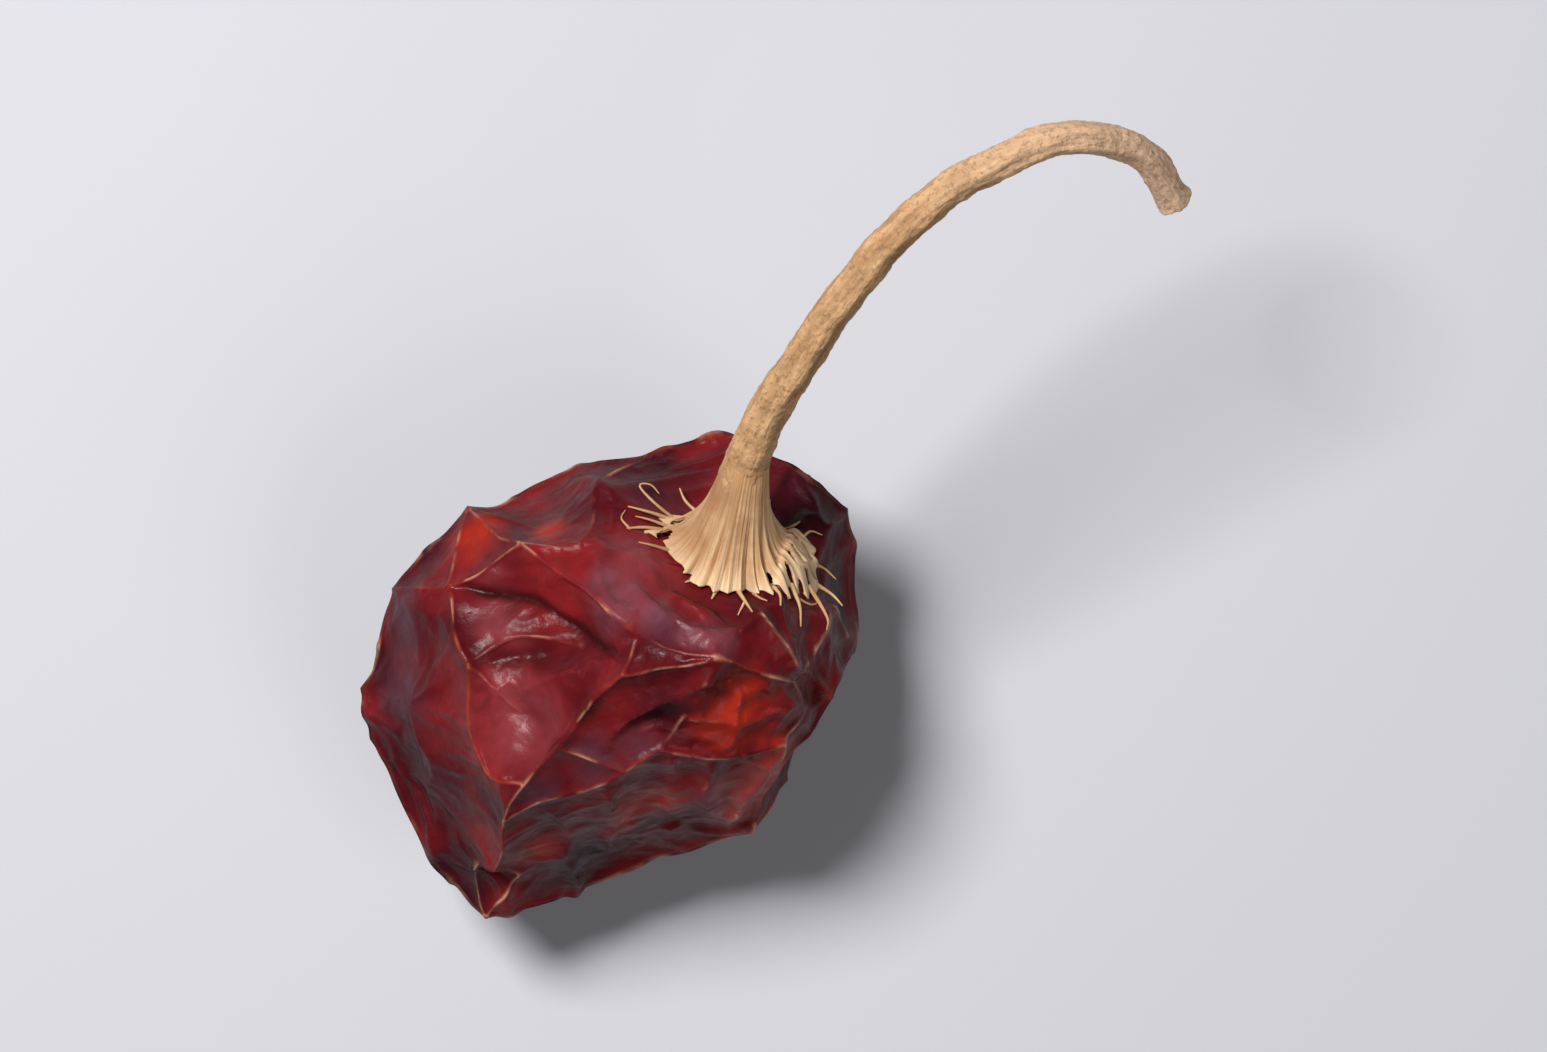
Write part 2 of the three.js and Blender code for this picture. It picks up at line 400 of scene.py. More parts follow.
worn_width = 0.08  # mm, of the line that is rubbed bare on a ridge
slightest_bulge = 0.06  # mm, from which any sharp bulge is rubbed too, wholly so 0.12 mm higher
deepest_hollow = 0.25  # mm
on_line = 0.8 * np.exp(-((to_ridge / worn_width) ** 2))
keep_value(pod_mesh, "ridge", np.clip(on_line + (fine_bulge - slightest_bulge) / 0.12, 0, 1))
# The furrow value darkens the nicked furrows: painted shade.
keep_value(pod_mesh, "furrow", np.exp(-((to_furrow / nick_width) ** 2)))
# The hollow value darkens the dished, concave parts of the skin: painted shade.
keep_value(pod_mesh, "hollow", np.clip(-broad_bulge / deepest_hollow, 0, 1))

# Stains, worn spots, and patches of painted shade and painted sheen on the skin, each x, y, z and radius in
# mm, with wavering outlines.
wavering_places = places + wander(places, 2.0, 0.9)
stains_and_painted_light = {
    "dark": [
        (8.4, 7.8, 9.5, 3.4), (2.5, 9.4, 10.0, 2.4), (-8.2, -4.0, 9.0, 3.6), (-8.0, 5.5, 9.5, 2.4),
        (9.5, 3.5, 9.0, 2.4), (-4.9, -5.5, 12.0, 1.6), (-1.0, -8.0, 8.0, 3.0), (2.6, -0.6, 15.6, 1.4),
        (-6.4, -8.2, 7.0, 2.4), (-10.0, 0.6, 8.6, 1.8), (9.4, -2.2, 6.4, 2.0),
    ],
    # painted shade: darker spots along the valley of a furrow and in a hollow of the skin
    "valley_shade": [
        (-5.6, 0.7, 13.8, 1.3), (-4.4, 0.9, 13.9, 1.2), (-3.2, 1.2, 14.2, 1.1), (-2.0, -2.6, 15.6, 1.0),
        (-1.2, -0.6, 15.9, 1.2), (3.4, -6.6, 9.6, 2.2),
    ],
    # dark purple skin with a painted grey sheen, on the band under the calyx and on side panels
    "dusky_purple_and_sheen": [
        (3.0, 2.4, 16.9, 1.7), (-9.2, 2.4, 10.5, 2.4), (-8.8, -0.8, 10.0, 2.4), (-0.6, -3.2, 14.8, 1.7),
        (1.2, -2.4, 15.0, 1.5), (-2.6, -4.7, 13.6, 1.4), (2.4, 8.8, 11.4, 1.8),
    ],
    # painted sheen: a light grey-purple sheen over the purple band under the calyx
    "slate_sheen": [(0.7, 3.3, 16.2, 1.8), (2.0, 2.6, 16.6, 1.4), (4.6, 2.1, 17.0, 1.4), (-0.2, 4.6, 15.6, 1.2)],
    # painted highlight: a pale pink strip along the right lobe
    "pink_highlight": [(6.4, -4.0, 11.4, 2.2), (5.6, -5.4, 9.8, 1.8)],
    "rubbed": [(8.0, 1.2, 14.0, 2.4), (8.8, 2.6, 13.0, 1.6), (6.4, 2.6, 15.6, 1.4), (7.8, -2.8, 12.2, 1.4)],
    # painted sheen: pinkish patches of broad soft highlight on the upper and front panels
    "rosy_sheen": [
        (-4.8, 2.9, 14.0, 2.2), (-4.0, -1.6, 14.5, 2.8), (5.2, -4.8, 11.5, 1.8), (1.4, 5.2, 14.8, 2.2),
    ],
    "bright": [
        (5.8, -1.4, 15.2, 2.2), (-2.4, 6.4, 12.6, 1.4), (2.0, -5.6, 11.2, 2.2), (6.6, -3.0, 12.8, 1.4),
        (-2.8, -7.2, 9.6, 1.6), (-5.8, 6.0, 11.5, 1.8),
    ],
    "unworn": [(-6.2, -0.5, 13.8, 4.2), (-5.0, -4.0, 13.4, 2.6), (9.5, -1.0, 8.0, 4.0)],
}
for name, spots in stains_and_painted_light.items():
    keep_value(pod_mesh, name, patches(wavering_places, spots))
flank = np.clip((0.6 - normals[:, 2]) / 0.5, 0, 1)  # 1 where the skin is steep or faces down
keep_value(pod_mesh, "flank", flank)
keep_value(pod_mesh, "crumpled", (0.3 + 0.7 * patches(places, loose_spots)) * (1 - 0.8 * flank))

pod = bpy.data.objects.new("pod_skin", pod_mesh)
bpy.context.scene.collection.objects.link(pod)
pod_mesh.shade_smooth()
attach(pod, "root")
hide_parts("pod")

# Dried chilli skin: a waxy, leathery wall. The red shows where it is thin, it goes purple-black in patches,
# and it is rubbed down to the pale fibre along its sharp ridges. Some layers are painted light: painted
# shade on the steep flanks and in hollows, furrows and valleys, and a painted pink and grey sheen on some
# panels.
skin_material = bpy.data.materials.new("dried_chilli_skin")
skin_material.use_nodes = True
tree = skin_material.node_tree
shader = tree.nodes["Principled BSDF"]
shader.inputs["IOR"].default_value = 1.36
shader.inputs["Specular IOR Level"].default_value = 0.18

where = add_node(tree, "ShaderNodeTexCoord", {}, {}).outputs["Object"]
marks = {}
for name in (*stains_and_painted_light, "hollow", "furrow", "ridge", "flank", "crumpled"):
    marks[name] = add_node(tree, "ShaderNodeAttribute", {"attribute_name": name}, {}).outputs["Fac"]
# Noise patterns: the size of each in mm, and its values that are spread out to 0 and 1.
skin_patterns = {
    "blotches": (3.5, 0.35, 0.65),
    "mottle": (0.7, 0.35, 0.7),
    "worn": (2.6, 0.48, 0.62),
    "half_worn": (1.3, 0.4, 0.6),
}
for name, (size, low, high) in skin_patterns.items():
    noise_inputs = {"Vector": where, "Scale": 1 / (size * mm), "Detail": 4.0}
    pattern = add_node(tree, "ShaderNodeTexNoise", {}, noise_inputs)
    spread_inputs = {"Value": pattern.outputs["Fac"], "From Min": low, "From Max": high}
    marks[name] = add_node(tree, "ShaderNodeMapRange", {}, spread_inputs).outputs["Result"]
times = {"operation": "MULTIPLY"}
patchy_ridge = add_node(tree, "ShaderNodeMath", times, {0: marks["ridge"], 1: marks["half_worn"]}).outputs[0]
worn = add_node(
    tree, "ShaderNodeMath", {"operation": "MAXIMUM"}, {0: marks["worn"], 1: marks["rubbed"]}
).outputs[0]
still_whole = add_node(
    tree, "ShaderNodeMath", {"operation": "SUBTRACT"}, {0: 1.0, 1: marks["unworn"]}
).outputs[0]
worn_ridge = add_node(
    tree, "ShaderNodeMath", {"operation": "POWER"}, {0: marks["ridge"], 1: 2.0}
).outputs[0]
for cover in (worn, still_whole):
    worn_ridge = add_node(tree, "ShaderNodeMath", times, {0: worn_ridge, 1: cover}).outputs[0]

# Each layer covers the ones before it: where it lies, how strongly, and its colour.
skin_layers = [
    (marks["blotches"], 1.0, "#781a1d"),
    # painted shade: the steep and downward-facing skin darkened
    (marks["flank"], 0.6, "#2c070c"),
    (marks["bright"], 0.7, "#a82a14"),
    # painted sheen on the upper panels
    (marks["rosy_sheen"], 0.6, "#843b40"),
    # painted highlight on the right lobe
    (marks["pink_highlight"], 0.6, "#ae514c"),
    # dark purple skin with a painted grey sheen
    (marks["dusky_purple_and_sheen"], 0.75, "#4a2c37"),
    # painted sheen on the purple band
    (marks["slate_sheen"], 0.5, "#7a4c58"),
    # painted shade in the valleys
    (marks["valley_shade"], 0.75, "#3a090c"),
    (marks["dark"], 0.85, "#240e16"),
    # painted shade in the hollows
    (marks["hollow"], 0.45, "#380a0d"),
    (marks["mottle"], 0.35, "#4c0f12"),
    # painted shade in the furrows
    (marks["furrow"], 0.8, "#200405"),
    (patchy_ridge, 0.6, "#963a28"),
    (worn_ridge, 0.85, "#cfa284"),
]
colour = srgb("#470d15")
for cover, strength, layer_colour in skin_layers:
    share = add_node(tree, "ShaderNodeMath", times, {0: cover, 1: strength}).outputs[0]
    mix_inputs = {0: share, 6: colour, 7: srgb(layer_colour)}
    colour = add_node(tree, "ShaderNodeMix", {"data_type": "RGBA"}, mix_inputs).outputs[2]
tree.links.new(colour, shader.inputs["Base Color"])

# The handled upper side is waxier than the dusty flanks.
gloss = add_node(
    tree, "ShaderNodeMapRange", {}, {"Value": marks["mottle"], "To Min": 0.25, "To Max": 0.44}
).outputs["Result"]
dulled = add_node(
    tree,
    "ShaderNodeMath",
    {"operation": "MULTIPLY_ADD", "use_clamp": True},
    {0: marks["flank"], 1: 0.12, 2: gloss},
).outputs[0]
tree.links.new(dulled, shader.inputs["Roughness"])

# The skin's grain, 0.35 mm across, and creases 1.6 mm apart where it is crumpled. On the steep flanks
# both are shallower, as the skin there is drawn smooth.
grain = add_node(
    tree, "ShaderNodeTexNoise", {}, {"Vector": where, "Scale": 1 / (0.35 * mm), "Detail": 5.0}
)
grain_share = add_node(
    tree, "ShaderNodeMath", {"operation": "MULTIPLY_ADD"}, {0: marks["flank"], 1: -0.75, 2: 1.0}
).outputs[0]
grain_height = add_node(
    tree, "ShaderNodeMath", times, {0: grain.outputs["Fac"], 1: grain_share}
).outputs[0]
relief = add_node(
    tree, "ShaderNodeBump", {}, {"Height": grain_height, "Strength": 0.35, "Distance": 0.12 * mm}
)
creases = add_node(
    tree,
    "ShaderNodeTexNoise",
    {"noise_type": "RIDGED_MULTIFRACTAL"},
    {"Vector": where, "Scale": 1 / (1.6 * mm), "Detail": 3.0, "Distortion": 0.6},
)
crease_height = add_node(
    tree, "ShaderNodeMath", times, {0: creases.outputs["Fac"], 1: marks["crumpled"]}
).outputs[0]
crease_relief = add_node(
    tree,
    "ShaderNodeBump",
    {},
    {"Height": crease_height, "Strength": 0.7, "Distance": 0.3 * mm, "Normal": relief.outputs["Normal"]},
)
tree.links.new(crease_relief.outputs["Normal"], shader.inputs["Normal"])
pod_mesh.materials.append(skin_material)


# ---------------------------------------------------------------------------------------------
# The calyx: the flower's green cup, dried to a papery, fibrous cap. It flares out of the stalk's
# foot and grips the pod's shoulder, and its rim has frayed to teeth, lace and loose fibres.
# ---------------------------------------------------------------------------------------------

cup_radius = 2.6
# The cup's outline from its neck, sunk in the stalk's skin, to its rim: radius and height in mm.
cup_outline = [
    (0.93, 4.5), (1.02, 3.9), (1.14, 3.2), (1.28, 2.5),
    (1.5, 1.8), (1.8, 1.2), (2.15, 0.75), (cup_radius, 0.35),
]
cup_right = (Vector((1, 0, 0)) - calyx_axis * calyx_axis.x).normalized()
cup_back = calyx_axis.cross(cup_right)
pod_surface = BVHTree.FromPolygons(
    [v.co / mm for v in pod_mesh.vertices], [p.vertices for p in pod_mesh.polygons]
)
well_above = 6  # mm, over any of the skin near the seat
past_skin = -2.0  # mm, the height taken where the skin has fallen away


def on_cup(degrees, reach):
    """The foot of a spot of the calyx on its seat plane, from its direction and its reach in mm."""
    turn = math.radians(degrees)
    return seat_centre + reach * (math.cos(turn) * cup_right + math.sin(turn) * cup_back)


def skin_height(foot):
    """How high the pod's skin stands over a foot on the seat plane."""
    hit = pod_surface.ray_cast(foot + well_above * calyx_axis, -calyx_axis)[0]
    return (hit - foot).dot(calyx_axis) if hit else past_skin


def smooth_route(points, count):
    """Evenly spaced places on a smooth curve through the points, and the curve's length."""
    points = np.array(points, float)
    ends = np.vstack([2 * points[0] - points[1], points, 2 * points[-1] - points[-2]])
    spots = []
    for a, b, c, d in zip(ends[:-3], ends[1:-2], ends[2:-1], ends[3:]):
        for t in np.linspace(0, 1, 16, endpoint=False):
            curve = 2 * b + (c - a) * t + (2 * a - 5 * b + 4 * c - d) * t**2
            curve = curve + (3 * b - a - 3 * c + d) * t**3
            spots.append(curve / 2)
    spots = np.array(spots + [points[-1]])
    lengths = np.concatenate([[0], np.cumsum(np.linalg.norm(np.diff(spots, axis=0), axis=1))])
    stations = np.linspace(0, lengths[-1], count)
    return np.column_stack([np.interp(stations, lengths, column) for column in spots.T]), lengths[-1]


# How far the rim reaches in mm, by direction in degrees: 0 is right, -90 the front, 180 the left.
rim = [
    (-180, 3.2), (-165, 2.8), (-150, 2.5), (-120, 2.4), (-90, 2.7), (-62, 2.7), (-45, 2.8),
    (-30, 3.3), (-18, 4.1), (-5, 4.5), (8, 4.4), (20, 4.2), (32, 3.6), (45, 2.8),
    (70, 2.6), (90, 2.8), (120, 2.6), (145, 2.9), (160, 3.4), (172, 3.5),
]
rim_turns, rim_reach = zip(*rim)
# Holes in the lace on the right and the left: direction, reach, and half sizes round and out, in mm.
lace_holes = [
    (-24, 2.9, 0.12, 0.32), (-13, 2.7, 0.11, 0.3), (-3, 2.9, 0.13, 0.34), (8, 2.75, 0.12, 0.3),
    (18, 2.9, 0.12, 0.3), (28, 2.75, 0.1, 0.26), (-19, 3.55, 0.15, 0.28), (-8, 3.7, 0.17, 0.32),
    (5, 3.65, 0.16, 0.34), (16, 3.65, 0.14, 0.3), (26, 3.35, 0.1, 0.22), (-34, 2.6, 0.1, 0.24),
    (-45, 2.45, 0.08, 0.2), (172, 2.4, 0.1, 0.28), (178, 2.85, 0.11, 0.28), (166, 2.9, 0.12, 0.3),
    (158, 2.5, 0.1, 0.28), (148, 2.4, 0.1, 0.24), (78, 2.4, 0.1, 0.25), (96, 2.35, 0.09, 0.2),
    (120, 2.2, 0.08, 0.2), (48, 2.2, 0.08, 0.2),
]
teeth = 34
# The longest teeth, in mm, by direction: the edge is nearly whole at the front left.
longest_teeth = [
    (-180, 0.9), (-150, 0.3), (-110, 0.4), (-88, 0.85), (-60, 0.75), (-20, 0.9), (40, 0.8),
    (90, 0.5), (150, 0.7),
]
tooth_turns, tooth_reach = zip(*longest_teeth)
shortest_tooth = 0.25  # share of the longest
flare_start = 0.45  # share of the way out from the neck at which the cap starts to flare
skin_gap = 0.12  # mm, that the cap keeps off the pod's skin
rib_height = 0.08  # mm
crinkle_height = 0.14
tooth_curl = 0.1
cup_turns = 420
cup_rows = 60
outline = smooth_route(cup_outline, cup_rows + 1)[0].tolist()

cup = bmesh.new()
bmesh.ops.create_grid(cup, x_segments=cup_turns, y_segments=cup_rows, size=0.5)
cup_fibre = cup.verts.layers.float_vector.new("fibre")
cup_edge = cup.verts.layers.float.new("edge")
cup_neck = cup.verts.layers.float.new("neck")
for vert in cup.verts:
    degrees = 360 * vert.co.x
    row = round((vert.co.y + 0.5) * cup_rows)
    out = row / cup_rows
    round_place = Vector((math.cos(math.radians(degrees)), math.sin(math.radians(degrees)), 0))
    tooth, across = divmod(teeth * (vert.co.x + 0.5) + 1.3 * noise.noise(round_place * 3), 1)
    own_length = shortest_tooth + (1 - shortest_tooth) * noise.cell(Vector((int(tooth) % teeth, 0, 0)))
    point = own_length * (1 - abs(2 * across - 1)) ** 0.8
    rim_here = float(np.interp(degrees, rim_turns, rim_reach, period=360))
    rim_here += float(np.interp(degrees, tooth_turns, tooth_reach, period=360)) * (point - 0.3)
    outer = max(0, (out - flare_start) / (1 - flare_start)) ** 1.5
    reach = outline[row][0] * (1 + outer * (rim_here / cup_radius - 1))
    foot = on_cup(degrees, reach)
    rib = noise.noise(round_place * 3.1) + 0.5 * noise.noise(round_place * 8)
    rib += 0.35 * noise.noise(round_place * 17)
    height = outline[row][1] * (1 - 0.8 * outer) + (skin_height(foot) + 0.05) * outer
    height = max(height, skin_height(foot) + skin_gap)
    crinkle = noise.noise(Vector(foot) * 1.3)
    lift = rib_height * rib + outer * (crinkle_height * crinkle + tooth_curl * point)
    vert[cup_fibre] = (6 * round_place.x, 6 * round_place.y, 0.3 * reach)
    vert[cup_edge] = max(0.0, (out - 0.8) / 0.2)
    vert[cup_neck] = max(0.0, 1 - out / 0.35)
    out_arm = (foot - seat_centre).normalized()
    vert.co = (foot + height * calyx_axis + lift * (0.6 * calyx_axis + 0.5 * out_arm)) * mm
bmesh.ops.remove_doubles(cup, verts=cup.verts, dist=0.004 * mm)


def in_hole(middle):
    """Whether a face of the calyx lies in one of the holes of its lace."""
    flat = middle - seat_centre
    across, back = flat.dot(cup_right), flat.dot(cup_back)
    reach = math.hypot(across, back)
    degrees = math.degrees(math.atan2(back, across))
    for turn, out, half_round, half_out in lace_holes:
        apart = (degrees - turn + 180) % 360 - 180
        round_gap = math.radians(apart) * reach / half_round
        if round_gap**2 + ((reach - out) / half_out) ** 2 < 1:
            return True
    return False


torn = [f for f in cup.faces if in_hole(f.calc_center_median() / mm)]
bmesh.ops.delete(cup, geom=torn, context="FACES")
rim_corners = [v for v in cup.verts if v.is_boundary]
all_axes = {"use_axis_x": True, "use_axis_y": True, "use_axis_z": True}
for _ in range(2):
    bmesh.ops.smooth_vert(cup, verts=rim_corners, factor=0.4, **all_axes)
bmesh.ops.recalc_face_normals(cup, faces=cup.faces)
cup_mesh = bpy.data.meshes.new("calyx_cup")
cup.to_mesh(cup_mesh)
cup.free()
calyx_cup = bpy.data.objects.new("calyx_cup", cup_mesh)
bpy.context.scene.collection.objects.link(calyx_cup)
cup_mesh.shade_smooth()
paper = calyx_cup.modifiers.new("paper", "SOLIDIFY")
paper.thickness = 0.14 * mm
paper.offset = -1
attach(calyx_cup, "root")
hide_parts("calyx")

# Loose fibres at the rim: each a path of (direction, reach, lift off the skin), and its thickness.
loose_fibres = [
    # the right wing
    ([(-9, 3.6, 0.05), (-13, 4.4, 0.1), (-20, 4.9, 0.05), (-27, 5.1, 0.0)], 0.1),
    ([(2, 4.0, 0.05), (0, 4.8, 0.1), (-6, 5.3, 0.0)], 0.09),
    ([(13, 3.8, 0.05), (16, 4.5, 0.15), (12, 5.1, 0.1)], 0.08),
    ([(24, 3.4, 0.05), (30, 4.1, 0.2), (28, 4.7, 0.2)], 0.07),
    ([(-25, 3.0, 0.05), (-32, 3.8, 0.05), (-38, 4.3, 0.0)], 0.1),
    ([(-29, 3.4, 0.1), (-20, 4.0, 0.15), (-10, 4.3, 0.1)], 0.06),
    # the front
    ([(-44, 2.5, 0.0), (-48, 3.3, 0.05), (-53, 3.8, 0.0)], 0.1),
    ([(-62, 2.4, 0.0), (-63, 3.0, 0.0), (-60, 3.4, 0.0)], 0.08),
    ([(-78, 2.3, 0.0), (-77, 3.2, 0.05), (-74, 3.9, 0.0)], 0.11),
    ([(-77, 3.2, 0.03), (-83, 3.8, 0.0)], 0.07),
    ([(-101, 2.3, 0.0), (-103, 3.0, 0.0)], 0.1),
    ([(-128, 2.2, 0.0), (-131, 2.8, 0.0)], 0.09),
    # the left wing
    ([(-172, 2.6, 0.0), (-170, 3.5, 0.05), (-173, 4.0, 0.0)], 0.09),
    ([(150, 2.4, 0.1), (154, 3.3, 0.2), (158, 4.2, 0.15), (159, 4.8, 0.0)], 0.11),
    ([(166, 2.6, 0.05), (171, 3.6, 0.1), (175, 4.5, 0.0)], 0.11),
    ([(148, 2.6, 0.1), (149, 3.9, 0.4), (147, 4.8, 0.5), (142, 4.5, 0.6), (140, 4.0, 0.4)], 0.08),
    ([(175, 4.3, 0.0), (168, 4.8, 0.0), (161, 4.8, 0.0)], 0.06),
    ([(160, 2.8, 0.1), (163, 3.6, 0.2), (164, 4.3, 0.1)], 0.08),
    ([(122, 2.4, 0.1), (126, 3.3, 0.3), (124, 4.0, 0.3)], 0.09),
    # the back
    ([(88, 2.6, 0.05), (86, 3.5, 0.1), (90, 4.1, 0.0)], 0.1),
    ([(64, 2.4, 0.05), (60, 3.3, 0.1), (63, 3.8, 0.0)], 0.1),
    ([(104, 2.5, 0.05), (108, 3.2, 0.1)], 0.08),
    ([(40, 2.5, 0.05), (37, 3.3, 0.1), (39, 4.0, 0.0)], 0.1),
]
fibre_sides = 8


def ring_frames(route):
    """Two directions square to the route at each of its places, carried along without a twist."""
    tangents = np.gradient(route, axis=0)
    tangents /= np.linalg.norm(tangents, axis=1)[:, None]
    side = np.cross(tangents[0], (0.3, 0.2, 0.9))
    sides, ups = [], []
    for tangent in tangents:
        side = side - tangent * side.dot(tangent)
        side = side / np.linalg.norm(side)
        sides.append(side)
        ups.append(np.cross(tangent, side))
    return np.array(sides), np.array(ups)


def swept_rod(target, centres, sides, ups, turns, reach_of):
    """Adds a closed rod to a mesh: a grid rolled round its centres. reach_of(turn, row) is its radius."""
    last = len(centres) - 1
    sheet = bmesh.ops.create_grid(target, x_segments=turns, y_segments=last, size=0.5)["verts"]
    for vert in sheet:
        turn = 2 * math.pi * (vert.co.x + 0.5)
        row = round((vert.co.y + 0.5) * last)
        arm = math.cos(turn) * sides[row] + math.sin(turn) * ups[row]
        vert.co = Vector(centres[row] + reach_of(turn, row) * arm) * mm
    bmesh.ops.remove_doubles(target, verts=sheet, dist=0.002 * mm)


fibres = bmesh.new()
for path, thickness in loose_fibres:
    knots = []
    for degrees, reach, lift in path:
        foot = on_cup(degrees, reach)
        knots.append(foot + (max(skin_height(foot), -2.5) + thickness + lift) * calyx_axis)
    route, _ = smooth_route(knots, 30)
    last_row = len(route) - 1
    for row, spot in enumerate(route):
        height = (Vector(spot) - seat_centre).dot(calyx_axis)
        foot = Vector(spot) - height * calyx_axis
        sunk = skin_height(foot) + 0.7 * thickness - height
        route[row] += max(0.0, sunk) * np.array(calyx_axis)

    def fibre_reach(turn, row):
        share = row / last_row
        ends = 0.0 if row in (0, last_row) else 1.0
        around = Vector((math.cos(turn), math.sin(turn), 0))
        uneven = 1 + 0.25 * noise.noise(Vector(route[row]) * 2.5 + around)
        return ends * thickness * uneven * (1.1 - 0.75 * share)

    swept_rod(fibres, route, *ring_frames(route), fibre_sides, fibre_reach)
bmesh.ops.recalc_face_normals(fibres, faces=fibres.faces)
fibre_mesh = bpy.data.meshes.new("calyx_fibres")
fibres.to_mesh(fibre_mesh)
fibres.free()
fibre_mesh.shade_smooth()
calyx_fibres = bpy.data.objects.new("calyx_fibres", fibre_mesh)
bpy.context.scene.collection.objects.link(calyx_fibres)
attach(calyx_fibres, "root")

# Dried calyx husk: papery and matte, cream where it is thick, with tan fibres that run outwards, and browner
# on its left wing, partly its own browning and partly painted shade.
husk_material = bpy.data.materials.new("dried_calyx_husk")
husk_material.use_nodes = True
tree = husk_material.node_tree
shader = tree.nodes["Principled BSDF"]
shader.inputs["Roughness"].default_value = 0.75
shader.inputs["Specular IOR Level"].default_value = 0.3
run = add_node(tree, "ShaderNodeAttribute", {"attribute_name": "fibre"}, {}).outputs["Vector"]
where = add_node(tree, "ShaderNodeTexCoord", {}, {}).outputs["Object"]
edge_share = add_node(tree, "ShaderNodeAttribute", {"attribute_name": "edge"}, {}).outputs["Fac"]
strands = add_node(
    tree, "ShaderNodeTexNoise", {}, {"Vector": run, "Scale": 2.4, "Detail": 5.0, "Roughness": 0.65}
)
streaks = add_node(
    tree, "ShaderNodeMapRange", {}, {"Value": strands.outputs["Fac"], "From Min": 0.38, "From Max": 0.66}
).outputs["Result"]
stain_noise = add_node(
    tree, "ShaderNodeTexNoise", {}, {"Vector": where, "Scale": 1 / (1.4 * mm), "Detail": 4.0}
)
stained = add_node(
    tree, "ShaderNodeMapRange", {}, {"Value": stain_noise.outputs["Fac"], "From Min": 0.45, "From Max": 0.7}
).outputs["Result"]
neck_share = add_node(tree, "ShaderNodeAttribute", {"attribute_name": "neck"}, {}).outputs["Fac"]
brown_and_shade_share = add_node(tree, "ShaderNodeAttribute", {"attribute_name": "brown_and_shade"}, {}).outputs["Fac"]
husk_layers = [
    (streaks, 0.8, "#e3c39a"),
    (stained, 0.6, "#946239"),
    (neck_share, 0.6, "#c2935f"),
    (edge_share, 0.5, "#ebd2ae"),
    # browning and painted shade on the left wing and neck
    (brown_and_shade_share, 0.55, "#8f6340"),
]
colour = srgb("#a97b4f")
for cover, strength, layer_colour in husk_layers:
    share = add_node(tree, "ShaderNodeMath", times, {0: cover, 1: strength}).outputs[0]
    mix_inputs = {0: share, 6: colour, 7: srgb(layer_colour)}
    colour = add_node(tree, "ShaderNodeMix", {"data_type": "RGBA"}, mix_inputs).outputs[2]
tree.links.new(colour, shader.inputs["Base Color"])
relief = add_node(
    tree, "ShaderNodeBump", {}, {"Height": strands.outputs["Fac"], "Strength": 0.6, "Distance": 0.12 * mm}
)
tree.links.new(relief.outputs["Normal"], shader.inputs["Normal"])
# The left wing and neck are painted browner: partly the husk's own browning, partly painted shade.
shaded_brown_spots = [(2.2, 7.0, 14.0, 3.4), (4.7, 8.2, 15.8, 1.6)]  # x, y, z and radius in mm
for husk_mesh in (cup_mesh, fibre_mesh):
    keep_value(husk_mesh, "brown_and_shade", patches(places_of(husk_mesh), shaded_brown_spots))
    husk_mesh.materials.append(husk_material)


# ---------------------------------------------------------------------------------------------
# The stalk: a tough fibrous stem, dried hard and slightly ribbed. It grows out of the calyx, arches
# over, and hooks down to the clean end where it was picked.
# ---------------------------------------------------------------------------------------------

stalk_foot = seat_centre + 2.6 * calyx_axis  # inside the calyx's neck
stalk_knots = [
    stalk_foot,
    seat_centre + 4.6 * calyx_axis,
    (7.3, 12.1, 18.5),
    (10.4, 16.7, 21.4),
    (14.3, 20.6, 23.1),
    (18.9, 22.7, 22.6),
    (22.5, 22.4, 19.9),
    (24.1, 20.5, 16.9),
]
stalk_rows = 330
stalk_turns = 64
stalk_route, stalk_length = smooth_route(stalk_knots, stalk_rows)
row_step = stalk_length / (stalk_rows - 1)
bend_share = np.sin(np.linspace(0, math.pi, stalk_rows))[:, None]
stalk_route += bend_share * (wander(stalk_route, 3.5, 0.22) + wander(stalk_route, 1.4, 0.05))

# The picked end is closed by rows that step in to the middle: reach as a share, and drop in mm.
end_rows = [(0.97, -0.05), (0.86, -0.08), (0.66, -0.03), (0.4, 0.04), (0.2, 0.06), (0.0, 0.06)]
end_direction = stalk_route[-1] - stalk_route[-2]
end_direction /= np.linalg.norm(end_direction)
closing = [stalk_route[-1] - drop * end_direction for _, drop in end_rows]
rod_centres = np.vstack([stalk_route[:1], stalk_route, closing])
side_frames, up_frames = ring_frames(stalk_route)
frame_rows = [0, *range(stalk_rows)] + [stalk_rows - 1] * len(end_rows)
stations = np.concatenate([[0], np.arange(stalk_rows) * row_step, [stalk_length] * len(end_rows)])
stalk_foot_radius = 0.85  # mm, as are these heights and fades
thinning = 0.19
foot_flare, flare_fade = 0.27, 2.4
end_swelling, swelling_fade = 0.12, 0.7
rib_depth, fibre_depth, lump_depth, grit_depth = 0.035, 0.055, 0.07, 0.045


